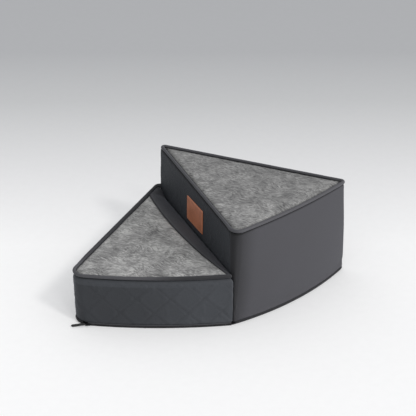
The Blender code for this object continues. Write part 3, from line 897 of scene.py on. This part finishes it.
def pipings():
    path, outward = rim("high", HIGH_TOP, 0, 0, True)
    columns = np.arange(TOTAL)
    tight = smooth((columns - STOPS[3]) / 12) * smooth((STOPS[4] - columns) / 12)  # along the riser
    path[:, :2] -= outward * (0.7 * MM * tight)[:, None]
    piping("upper_tread_piping", path, outward, PIPING * (1 - 0.14 * tight), True, 51, 5.5 * MM)
    path, outward = rim("low", LOW_TOP, STOPS[1] - COUNTS[0] // 2, STOPS[4], False)
    bend, bend_start = 12 * MM, 25.5 * MM  # the cord curves from the side to the riser
    kept = path[:, 1] < APEX[1] - bend_start
    along_side = smooth((path[:, 1] - APEX[1] + RADIUS - 60 * MM) / (60 * MM))
    path = path + along_side[:, None] * np.array([-1.2 * MM, 0, 0])
    headings = np.radians(np.append(np.linspace(90, 35, 14), 35))
    turned = np.stack([-np.sin(headings), np.cos(headings), 0 * headings], -1)
    middle = path[kept][-1] + np.array([bend, 0, 0])
    curve = middle + bend * turned
    curve[-1] += 7 * MM * np.array([math.cos(headings[-1]), math.sin(headings[-1]), 0])
    path, outward = np.concatenate([path[kept], curve]), np.concatenate([outward[kept], turned[:, :2]])
    thick = PIPING * (1 + 0.15 * np.append(along_side[kept], np.ones(len(curve))))
    # painted shade on the outer side of the low cord, along the side that faces away from the light
    outer_shade = 0.75 * np.append(along_side[kept], np.ones(len(curve)))
    piping("lower_tread_piping", path, outward, thick, False, 53, 5.5 * MM, outer_shade)
    foot = FLOOR_CLOTH + 0.4 * MM
    radius = (BAND_TOP - foot) / 2
    low, low_out = outline("low", 0, radius)
    high, high_out = outline("high", 0, radius)
    near = np.arange(STOPS[2] + 3, STOPS[4])
    far = np.concatenate([np.arange(STOPS[5], TOTAL), np.arange(0, STOPS[2])])
    nose, nose_out = apex_nose(radius)
    plan = np.concatenate([low[near], nose, high[far]])
    outward = np.concatenate([low_out[near], nose_out, high_out[far]])
    # the base cord is painted nearly black on its outer side: painted shade under the walls
    piping("base_piping", at_height(plan, foot + radius), outward, radius, False, 57, 0, 0.95)


# Treads


def border_reach(s):
    """Width of the dark border beside the riser, at a distance from the apex."""
    bowed = 58 * MM * (1 - ((s - 190 * MM) / (448 * MM)) ** 2)
    return np.minimum(bowed, s - 2 * PIPING * math.sqrt(2) - 1.2 * MM)


def border_stations(count, start=40 * MM):
    return np.linspace(start, 592 * MM, count)


def plush_plan(block):
    if block == "high":
        close = outline("high", HIGH_TOP, 2 * PIPING + PLUSH_GAP)[0]
        apart = outline("high", HIGH_TOP, 2 * PIPING + 4 * MM)[0]
        columns = np.arange(TOTAL)
        back = smooth((columns - NOSE) / 20) * smooth((TOTAL - columns) / 20)
        return close + (apart - close) * back[:, None]
    inset = 2 * PIPING + PLUSH_GAP
    plan = outline("low", LOW_TOP, inset)[0][STOPS[1] : STOPS[4]]
    s = border_stations(90)
    edge = by_divider(s, border_reach(s))
    centre, radius = front_circle(DIVIDER, QUARTER, LOW_BOW)
    room = np.minimum(edge[:, 0] - APEX[0], radius - np.linalg.norm(edge - APEX - centre, axis=1))
    return np.concatenate([plan, edge[room > inset + TIGHT]])


def edge_distance(points, plan):
    """Distance in plan from each point to an outline."""
    best = np.full(len(points), 1e9)
    for a, b in zip(plan, np.roll(plan, -1, 0)):
        d = b - a
        t = np.clip((points - a) @ d / max(d @ d, 1e-12), 0, 1)
        best = np.minimum(best, np.linalg.norm(points - a - t[:, None] * d, axis=1))
    return best


def plush(node, block, seed):
    """A pile pad: remeshed slab, crowned over the foam, tucked in at its edge, brushed in clumps."""
    low, high = foot_and_top(node)
    plan = plush_plan(block)
    made = add_mesh(node + "_pile", *loft([at_height(plan, low), at_height(plan, high)]), FINISH["plush"])
    voxel = made.modifiers.new("even", "REMESH")
    voxel.mode = "VOXEL"
    voxel.voxel_size = 2.4 * MM
    settle(made)
    mesh = made.data
    p = np.zeros(len(mesh.vertices) * 3)
    mesh.vertices.foreach_get("co", p)
    p = p.reshape(-1, 3)
    away = edge_distance(p[:, :2], plan)
    upper = smooth((p[:, 2] - low) / (high - low))
    flat = np.c_[p[:, :2], np.zeros(len(p))]
    crown = 3.4 * MM * (1 - np.exp(-away / (55 * MM))) - 4.6 * MM * bell(away, 6 * MM)
    swirl = np.stack([noise(flat, 0.05, seed + 5), noise(flat, 0.05, seed + 6), 0 * away], -1)
    brushed = flat + 12 * MM * swirl
    clumps = fractal(brushed, (16 * MM, 7 * MM, 1), 3, seed)
    tips = noise(brushed, (7 * MM, 3.2 * MM, 1), seed + 9)
    pile = 1.1 * MM * clumps + 0.7 * MM * tips + 0.8 * MM * noise(flat, 0.09, seed + 2)
    p[:, 2] += upper * (crown + pile)
    mesh.vertices.foreach_set("co", p.ravel())
    # painted shade where the pile tucks in under the cords
    crease = 0.85 * bell(away, 2.6 * MM)
    if block == "high":  # painted shade: this tread is darker all over, darkest towards the back, with a painted shadow along the back cord
        crease = crease + 0.22 + 0.2 * smooth((p[:, 1] - APEX[1]) / (300 * MM) + 1)
        behind = APEX[1] - p[:, 1] - 14 * MM
        crease = crease + 0.6 * bell(behind, 9 * MM)
    mesh.attributes.new("crease", "FLOAT", "POINT").data.foreach_set("value", crease)
    mesh.shade_smooth()
    stands_for(node)


def settle(piece):
    """Applies a piece's modifiers, and drops the painted shade attribute that they have mixed up."""
    graph = bpy.context.evaluated_depsgraph_get()
    mesh = bpy.data.meshes.new_from_object(piece.evaluated_get(graph), depsgraph=graph)
    piece.modifiers.clear()
    piece.data = mesh
    if "crease" in mesh.attributes:
        mesh.attributes.remove(mesh.attributes["crease"])


def border():
    """Padded strip that rolls from the plush's edge down into the crevice at the riser."""
    node = "lower_tread_border"
    s = border_stations(150, 16 * MM)
    reach = border_reach(s)
    under = 6 * MM * (1 - smooth((s - 18 * MM) / (20 * MM)))  # below the end of the piping
    share = s / RADIUS
    depth = (25 * MM * (1 - share) + 3 * MM) * (0.2 + 0.8 * smooth((s - 16 * MM) / (60 * MM)))
    u = np.linspace(0, 1, 22)
    rows = []
    near, below_cord = 2.2 * MM, 2.2 * MM  # how close it comes to the riser, and how far down it starts
    for i, at in enumerate(s):
        d = near + (reach[i] - near) * (1 - u)
        rise = 1 - (1 - np.clip((d - near) / max(reach[i] - near, 12 * MM), 0, 1)) ** 2.6
        z = LOW_TOP - below_cord - depth[i] * (1 - rise)
        z = z - under[i] - 2.2 * MM * bell(reach[i] - d, 2.4 * MM)
        plan = by_divider(np.full_like(d, at), d)
        rows.append(np.c_[plan, z])
    grid = np.array(rows)
    lift = 0.8 * MM * fractal(grid, (0.05, 0.05, 0.05), 2, 61)
    grid[..., 2] += lift * np.sin(math.pi * u) ** 0.5
    normals = np.zeros_like(grid)
    normals[..., 2] = 1
    points, faces = shell(grid, normals, 3.2 * MM)
    along, across = np.meshgrid(s, u, indexing="ij")
    uv = both_faces(along, across * reach[:, None])
    # painted shade along the crevice at the riser and at the pile's edge
    crease = 0.9 * bell(1 - across, 0.06) + 0.6 * bell(across, 0.03)
    crease = both_faces(crease).ravel()
    made = stand_in(node, "sewn", points, faces, "border", "charcoal_cloth", uv=uv, crease=crease)


# Base and zipper


def whole_base(inset):
    """Outline of both wedges together at the floor."""
    high, low = (outline(block, 0, inset)[0] for block in ("high", "low"))
    nose, _ = apex_nose(inset)
    return np.concatenate([high[: STOPS[2]], low[STOPS[1] : STOPS[4]], nose, high[STOPS[5] :]])


def base():
    node = "base_panel"
    dot = 0.8 * MM
    edge = ((4.0, dot), (2.6, dot + 0.4 * MM), (2.6, FLOOR_CLOTH - 0.3 * MM), (3.2, FLOOR_CLOTH))
    rings = [at_height(whole_base(inset * MM), z) for inset, z in edge]
    points, faces = loft(rings)
    made = stand_in(node, "cloth", points, faces, "lining", "lining", uv=points[:, :2])
    grip_dots(dot)


def grip_dots(height):
    """Printed silicone dots in staggered rows."""
    pitch, radius, stagger = 26 * MM, 4 * MM, 0.866
    from_sides, from_front = 22 * MM, 30 * MM
    a = turns(12)
    points, faces = [], []
    rows = int(RADIUS / (pitch * stagger)) + 1
    for i in range(rows):
        for j in range(int(RADIUS / pitch) + 1):
            at = np.array([(j + 0.5 * (i % 2)) * pitch, -i * pitch * stagger])
            if min(at[0], -at[1]) < from_sides or np.linalg.norm(at) > RADIUS - from_front:
                continue
            rings = []
            for share, z in ((0.75, 0.0), (0.97, 0.25), (1.0, 1.0)):  # rounded off towards the floor
                ring = APEX + at + radius * share * np.c_[np.cos(a), np.sin(a)]
                rings.append(at_height(ring, z * (height + 0.1 * MM)))
            more, sides = loft(rings)
            faces += [tuple(sum(map(len, points)) + k for k in face) for face in sides]
            points.append(more)
    made = add_mesh("base_grip_dots", np.concatenate(points), faces, FINISH["silicone"])


def zipper_path(inset):
    plan, normal = outline("low", 0, inset)
    columns = span(STOPS[1], STOPS[2])
    return plan[columns], normal[columns]


def zipper():
    tuck = 0.7 * MM  # the upper tape goes on under the wall's foot
    for node, cloth, beyond in (("zipper_lower_tape", "tape", 0), ("zipper_upper_tape", "border", tuck)):
        foot, top = foot_and_top(node)
        heights = np.linspace(foot, top + beyond, 7)
        rows, outs = [], []
        for k, z in enumerate(heights):
            plan, normal = zipper_path((0.9 + 0.25 * math.cos(math.pi * k)) * MM)
            rows.append(at_height(plan, z))
            outs.append(at_height(normal, 0))
        grid, normals = np.array(rows), np.array(outs)
        points, faces = shell(grid, normals, TAPE)
        s, z = np.meshgrid(lengths(grid[0]), heights)
        uv = both_faces(s, z)
        stand_in(node, "woven", points, faces, cloth, "zipper_tape", uv=uv)
    teeth("zipper_lower_coil", 0)
    teeth("zipper_upper_coil", 1)


def teeth(node, side):
    """One half of a coil zipper: a bead of bent monofilament at every pitch."""
    low, high = foot_and_top(node)
    pitch = 1.7 * MM
    section = [(-0.5, 0.0), (-0.5, -0.8), (0.5, -0.8), (0.5, 0.0), (0.3, 0.35), (-0.3, 0.35)]
    plan, normal = zipper_path(0.2 * MM)
    along = lengths(plan)
    overlap = 0.35 * MM
    foot, top = (low, high + overlap) if side == 0 else (low - overlap, high)
    points, faces = [], []
    for k, s in enumerate(np.arange((0.5 + side) * pitch / 2 + pitch / 2, along[-1] - pitch, pitch)):
        c = int(np.searchsorted(along, s)) - 1
        u = (s - along[c]) / (along[c + 1] - along[c])
        at = plan[c] * (1 - u) + plan[c + 1] * u
        tangent, out = unit(plan[c + 1] - plan[c]), normal[c]
        rings = []
        for z, w in ((foot, 0.7), (foot + 0.3 * MM, 1.0), (top - 0.3 * MM, 1.0), (top, 0.7)):
            ring = [at + tangent * x * w * 1.1 * MM + out * (y * w * MM - 0.4 * MM) for x, y in section]
            rings.append(at_height(np.array(ring), z))
        more, sides = loft(rings)
        faces += [tuple(len(more) * k + i for i in face) for face in sides]
        points.append(more)
    stand_in(node, "teeth", np.concatenate(points), faces, "nylon", "zipper_nylon")


def hardware():
    """Small metal CAD pieces keep their shape, with rounded edges and a worn black finish."""
    stops = ("zipper_top_stop", "zipper_bottom_stop")
    for node in (*stops, "slider_rear_plate", "slider_bridge", "pull_loop"):
        piece = finish_cad(node, "metal")
        soften = piece.modifiers.new("rounded", "BEVEL")
        soften.width = 0.3 * MM
        soften.segments = 2
        soften.limit_method = "ANGLE"


def slider_axes(node):
    """Middle of a slider plate, and its outward and sideways directions, from its CAD corners."""
    low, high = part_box(node)
    middle = np.array((low + high) / 2)
    centre = front_circle(DIVIDER, QUARTER, LOW_BOW)[0] + APEX
    out = unit(middle[:2] - centre)
    return middle, np.array([*out, 0]), np.array([-out[1], out[0], 0])


def squared(value, power):
    """A sine or cosine, bent to make a circle squarer."""
    return np.sign(value) * np.abs(value) ** power


def slider():
    """The slider's front plate: waisted, with raised flanges and a crowned face."""
    node = "slider_body"
    middle, out, side = slider_axes(node)
    up = np.array([0, 0, 1])
    half, tall, thick = 7.4 * MM, 4.4 * MM, 1.6 * MM
    a = turns(48)
    rings = []
    # Depth in thicknesses and size of each ring, from the back over the rim into the face
    for depth, scale in ((-0.5, 0.94), (-0.4, 1.0), (0.3, 1.0), (0.48, 0.93), (0.52, 0.72), (0.4, 0.6)):
        x = squared(np.cos(a), 0.55) * half * scale
        waist = 1 - 0.16 * bell(x, 3.2 * MM)
        z = squared(np.sin(a), 0.6) * tall * scale * waist
        rings.append(middle + out * depth * thick + x[:, None] * side + z[:, None] * up)
    points, faces = loft(rings)
    stand_in(node, "cast", points, faces, "metal", "black_metal", "slider", angle=50)


def pull():
    """Moulded rubber grip: a straight ribbed stick with a rounded tip, a little higher at its root."""
    node = "pull_grip"
    piece = frame["nodes"][node]
    p = np.array([v.co for v in piece.data.vertices])
    pin = np.array(next(j for j in frame["joints"] if j["name"] == "pull_swing")["pos_m"])
    far = p[np.argmax(np.linalg.norm(p - pin, axis=1))]
    near = p[np.argmin(np.linalg.norm(p - pin, axis=1))]
    way = unit(p.mean(0) - pin)
    a = turns(20)
    start, end = (near - pin) @ way, (far - pin) @ way
    side = unit(np.cross(way, [0, 0, 1]))
    up = np.cross(side, way)
    rings = []
    ribs_from, ribs_to, ribs = 0.3, 0.82, 13
    for t in np.linspace(0, 1, 60):
        x = start + (end - start) * t
        body = 3.6 * MM + 0.2 * MM * float(smooth((t - 0.1) / 0.5))
        tip = math.sqrt(max(0.02, 1 - max(0.0, (t - 0.88) / 0.12) ** 2))
        neck = 0.75 + 0.25 * float(smooth(t / 0.06))
        rib = 0.28 * MM * max(0.0, math.sin(t * 2 * ribs * math.pi)) * float(ribs_from < t < ribs_to)
        r = (body + rib) * tip * neck
        lift = np.array([0, 0, 3 * MM * float(smooth(1 - t))])
        section = side * 0.8 * np.cos(a)[:, None] + up * np.sin(a)[:, None]
        rings.append(pin + way * x + section * r + lift)
    points, faces = loft(rings)
    stand_in(node, "moulded", points, faces, "rubber", "pull_rubber", "pull", angle=60)


# Label


def label():
    """Blank stitched leather patch on the riser."""
    node = "leather_label"
    low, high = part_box(node)
    middle_z = (low.z + high.z) / 2
    tall = high.z - low.z
    ends = [np.array([low.x, high.y]) - APEX, np.array([high.x, low.y]) - APEX]
    along = [float(e @ ray(DIVIDER)) for e in ends]
    wide, centre = (along[1] - along[0]) * 0.92, sum(along) / 2 + 9 * MM
    riser_foot, riser_top = foot_and_top("riser_panel")

    def stand(u, v, lift):
        """A point on the patch: u and v from its middle, lift from the riser's cloth."""
        height = middle_z + 4 * MM + v + u * math.tan(math.radians(3))  # sewn on a little askew
        inset = wall_inset(height, riser_foot, riser_top, *RISER_PROFILE)
        plan = by_divider(np.array(centre + u), np.array(-inset + 0.6 * MM + lift))
        return np.array([*plan, height])

    def ring(shrink, lift):
        """Points round the patch, moved inwards by shrink."""
        found = []
        corner = max(3 * MM - shrink, 0.8 * MM)
        half = np.array([wide / 2 - shrink - corner, tall / 2 - shrink - corner])
        signs = [(1, 1), (-1, 1), (-1, -1), (1, -1)]
        for k, sign in enumerate(signs):
            cx, cz = sign * half
            for a in np.radians(k * 90 + np.linspace(0, 90, 7)):
                found.append((cx + corner * math.cos(a), cz + corner * math.sin(a)))
            start = found[-1]
            bx, bz = signs[(k + 1) % 4] * half
            end = (bx, start[1]) if k % 2 == 0 else (start[0], bz)
            for t in np.linspace(0, 1, 12)[1:-1]:
                found.append(tuple(np.array(start) * (1 - t) + np.array(end) * t))
        return np.array([stand(u, v, lift) for u, v in found])

    # Inset and lift in mm: the edge, a groove for the stitches, and the face
    steps = [(0, -0.4), (0, 0.8), (0.3, 1.3), (0.9, 1.55), (2.6, 1.6), (3.0, 1.1), (3.9, 1.1), (4.3, 1.6)]
    steps += [(inset, 1.65) for inset in (8, 16, 24, 32)]
    rings = [ring(inset * MM, lift * MM) for inset, lift in steps]
    points, faces = loft(rings)
    count = len(rings[0])
    crease = np.repeat([1, 1, 0.9, 0.5] + [0] * 8, count)
    made = stand_in(node, "patch", points, faces, "leather", "tan_leather", crease=crease)
    path = ring(3.45 * MM, 1.25 * MM)
    path = np.concatenate([path, path[:1]])
    along = lengths(path)
    centres, ahead, ups = [], [], []
    normal = np.array([*inward(DIVIDER, True), 0])
    for at in np.arange(2 * MM, along[-1], 4 * MM):
        here, there = (np.array([np.interp(at + d, along, path[:, i]) for i in range(3)]) for d in (-MM, MM))
        centres.append((here + there) / 2)
        ahead.append(unit(there - here))
        ups.append(normal)
    points, faces = stitches(centres, ahead, ups, 3.0 * MM, 0.8 * MM)
    made = add_mesh(node + "_stitching", points, faces, FINISH["tan_thread"], uv=points[:, :2])


# Inside


def block_of_foam(node, block, finish_name, slot, inset):
    """Cut foam with softened edges, a little inside its cover."""
    eased = 4 * MM
    low, high = foot_and_top(node)
    rings = []
    shares = (0, 0.3, 0.7, 1)
    for edge, way, order in ((low, 1, shares), (high, -1, shares[::-1])):
        for share in order:
            shrink = eased * (1 - math.sin(math.pi / 2 * share))
            plan = outline(block, edge, inset + shrink)[0]
            rings.append(at_height(plan, edge + way * eased * share * 0.6))
    points, faces = loft(rings)
    made = stand_in(node, "cut", points, faces, finish_name, slot, uv=points[:, :2])


def insides():
    block_of_foam("upper_foam_core", "high", "foam", "foam", 12 * MM)
    block_of_foam("upper_foam_topper", "high", "memory", "memory_foam", 13 * MM)
    block_of_foam("lower_foam_core", "low", "foam", "foam", 14 * MM)
    low_topper()
    for node, block, under in (
        ("upper_tread_backing", "high", "upper_foam_topper_cut"),
        ("lower_tread_backing", "low", "lower_foam_topper_cut"),
    ):
        piece = finish_cad(node, "lining")


def low_topper():
    """The low wedge's top layer is cut back along the riser for the border to roll into."""
    node = "lower_foam_topper"
    low, high = foot_and_top(node)
    inset, into = 14 * MM, inward(DIVIDER, True)
    rings = []
    # Height, how far it is rounded off, and how far it is cut back from the riser
    for z, eased, cut in ((low, 2, 2), (low + 2 * MM, 0, 4), (high - 4 * MM, 0, 26), (high, 4, 31)):
        plan = outline("low", z, inset + eased * MM)[0]
        reach = (plan - APEX) @ into
        plan = plan + np.maximum(0, cut * MM - reach)[:, None] * into
        edge = APEX[0] + inset + eased * MM
        corner = np.array([edge, APEX[1] - (edge - APEX[0]) - cut * MM * math.sqrt(2)])
        plan = np.where((plan[:, :1] < edge) | (plan[:, 1:] > corner[1]), corner, plan)
        rings.append(at_height(plan, z))
    made = stand_in(node, "cut", *loft(rings), "memory", "memory_foam")


# Setting


def direction(azimuth, elevation):
    """Unit vector by degrees round from +X and degrees up."""
    azimuth, elevation = math.radians(azimuth), math.radians(elevation)
    level = math.cos(elevation)
    return Vector((math.cos(azimuth) * level, math.sin(azimuth) * level, math.sin(elevation)))


def camera():
    away, azimuth, elevation = VIEW
    target = Vector((APEX[0] + AIM[0] * RADIUS, APEX[1] + AIM[1] * RADIUS, AIM[2] * RADIUS))
    back = direction(azimuth - 90, elevation)
    data = bpy.data.cameras.new("camera")
    data.lens = 146.9
    data.sensor_width = 36
    made = place_in_scene("camera", data)
    made.location = target + back * away
    made.rotation_mode = "QUATERNION"
    made.rotation_quaternion = (-back).to_track_quat("-Z", "Y")
    bpy.context.scene.camera = made


def floor():
    """A pale floor with painted light falloff: it darkens slowly far behind the step, and glows a little
    with its own tone to lift the shadows on it.
    """
    made, tree, shader = material("floor", Roughness=0.9)
    shader.inputs["Specular IOR Level"].default_value = 0.1
    place = object_place(tree)
    split = put(tree, "SeparateXYZ", {0: place})
    behind = math.radians(23.9)  # the way the floor darkens
    back = sums(tree, "MULTIPLY", split.outputs["X"], -math.sin(behind))
    back = sums(tree, "MULTIPLY_ADD", split.outputs["Y"], math.cos(behind), back)
    share = sums(tree, "DIVIDE", back, 3.0)
    tone = ramp(tree, share, FLOOR_FALLOFF_TONES)
    grain = blotches(tree, place, 40, 3)
    speck = ramp(tree, grain, [(0.3, grey(0.985)), (0.7, grey(1))])
    tone = mix(tree, 1.0, tone, speck, "MULTIPLY")
    drive(tree, shader, "Base Color", tone)
    # the floor glows: painted light that lifts the shadows on it
    drive(tree, shader, "Emission Color", tone)
    shader.inputs["Emission Strength"].default_value = 0.2
    mesh = bpy.data.meshes.new("floor")
    size = 30
    corners = [(-size, -size, 0), (size, -size, 0), (size, size, 0), (-size, size, 0)]
    mesh.from_pydata(corners, [], [(0, 1, 2, 3)])
    mesh.materials.append(made)
    piece = place_in_scene("floor", mesh)
    return piece


FLOOR_FALLOFF_TONES = [
    (0.0, grey(0.83)),
    (0.1, grey(0.81)),
    (0.25, (0.66, 0.66, 0.665, 1)),
    (0.45, (0.46, 0.465, 0.47, 1)),
    (0.6, (0.37, 0.375, 0.385, 1)),
    (1.0, (0.35, 0.355, 0.365, 1)),
]


def sun(name, azimuth, elevation, strength, spread, tint):
    data = bpy.data.lights.new(name, "SUN")
    data.energy = strength
    data.angle = math.radians(spread)
    data.color = tint
    made = place_in_scene(name, data)
    made.rotation_mode = "QUATERNION"
    made.rotation_quaternion = direction(azimuth, elevation).to_track_quat("Z", "Y")
    return made


def lights(ground):
    """A key from the right, an even room, and a soft low side light that leaves the floor alone."""
    world = bpy.data.worlds.new("studio")
    world.use_nodes = True
    room = world.node_tree.nodes["Background"].inputs
    room["Color"].default_value = (0.97, 0.98, 1.0, 1)
    room["Strength"].default_value = 0.74
    bpy.context.scene.world = world
    for azimuth, elevation, strength in ((-22, 44.5, 0.72), (-42, 42, 0.24), (-62, 40, 0.18)):
        sun("key", azimuth, elevation, strength, 9, (1.0, 0.985, 0.965))
    side = sun("side", 10, 15, 2.4, 40, (1.0, 0.98, 1.0))
    apart = bpy.data.collections.new("not lit from the side")
    apart.objects.link(ground)
    side.light_linking.receiver_collection = apart
    apart.collection_objects[0].light_linking.link_state = "EXCLUDE"
    bpy.context.scene.view_settings.view_transform = "Standard"


camera()
lights(floor())
lower_front()
plain("lower_side_panel", "low", span(STOPS[3], STOPS[5] + 4), LOW_PROFILE, 11)
plain("upper_front_panel", "high", span(STOPS[0], STOPS[3]), HIGH_PROFILE, 23, 0.85)
plain("upper_side_panel", "high", span(NOSE, TOTAL), HIGH_PROFILE, 31)
riser()
label()
pipings()
plush("lower_tread_panel", "low", 71)
plush("upper_tread_panel", "high", 83)
border()
base()
zipper()
hardware()
slider()
pull()
insides()
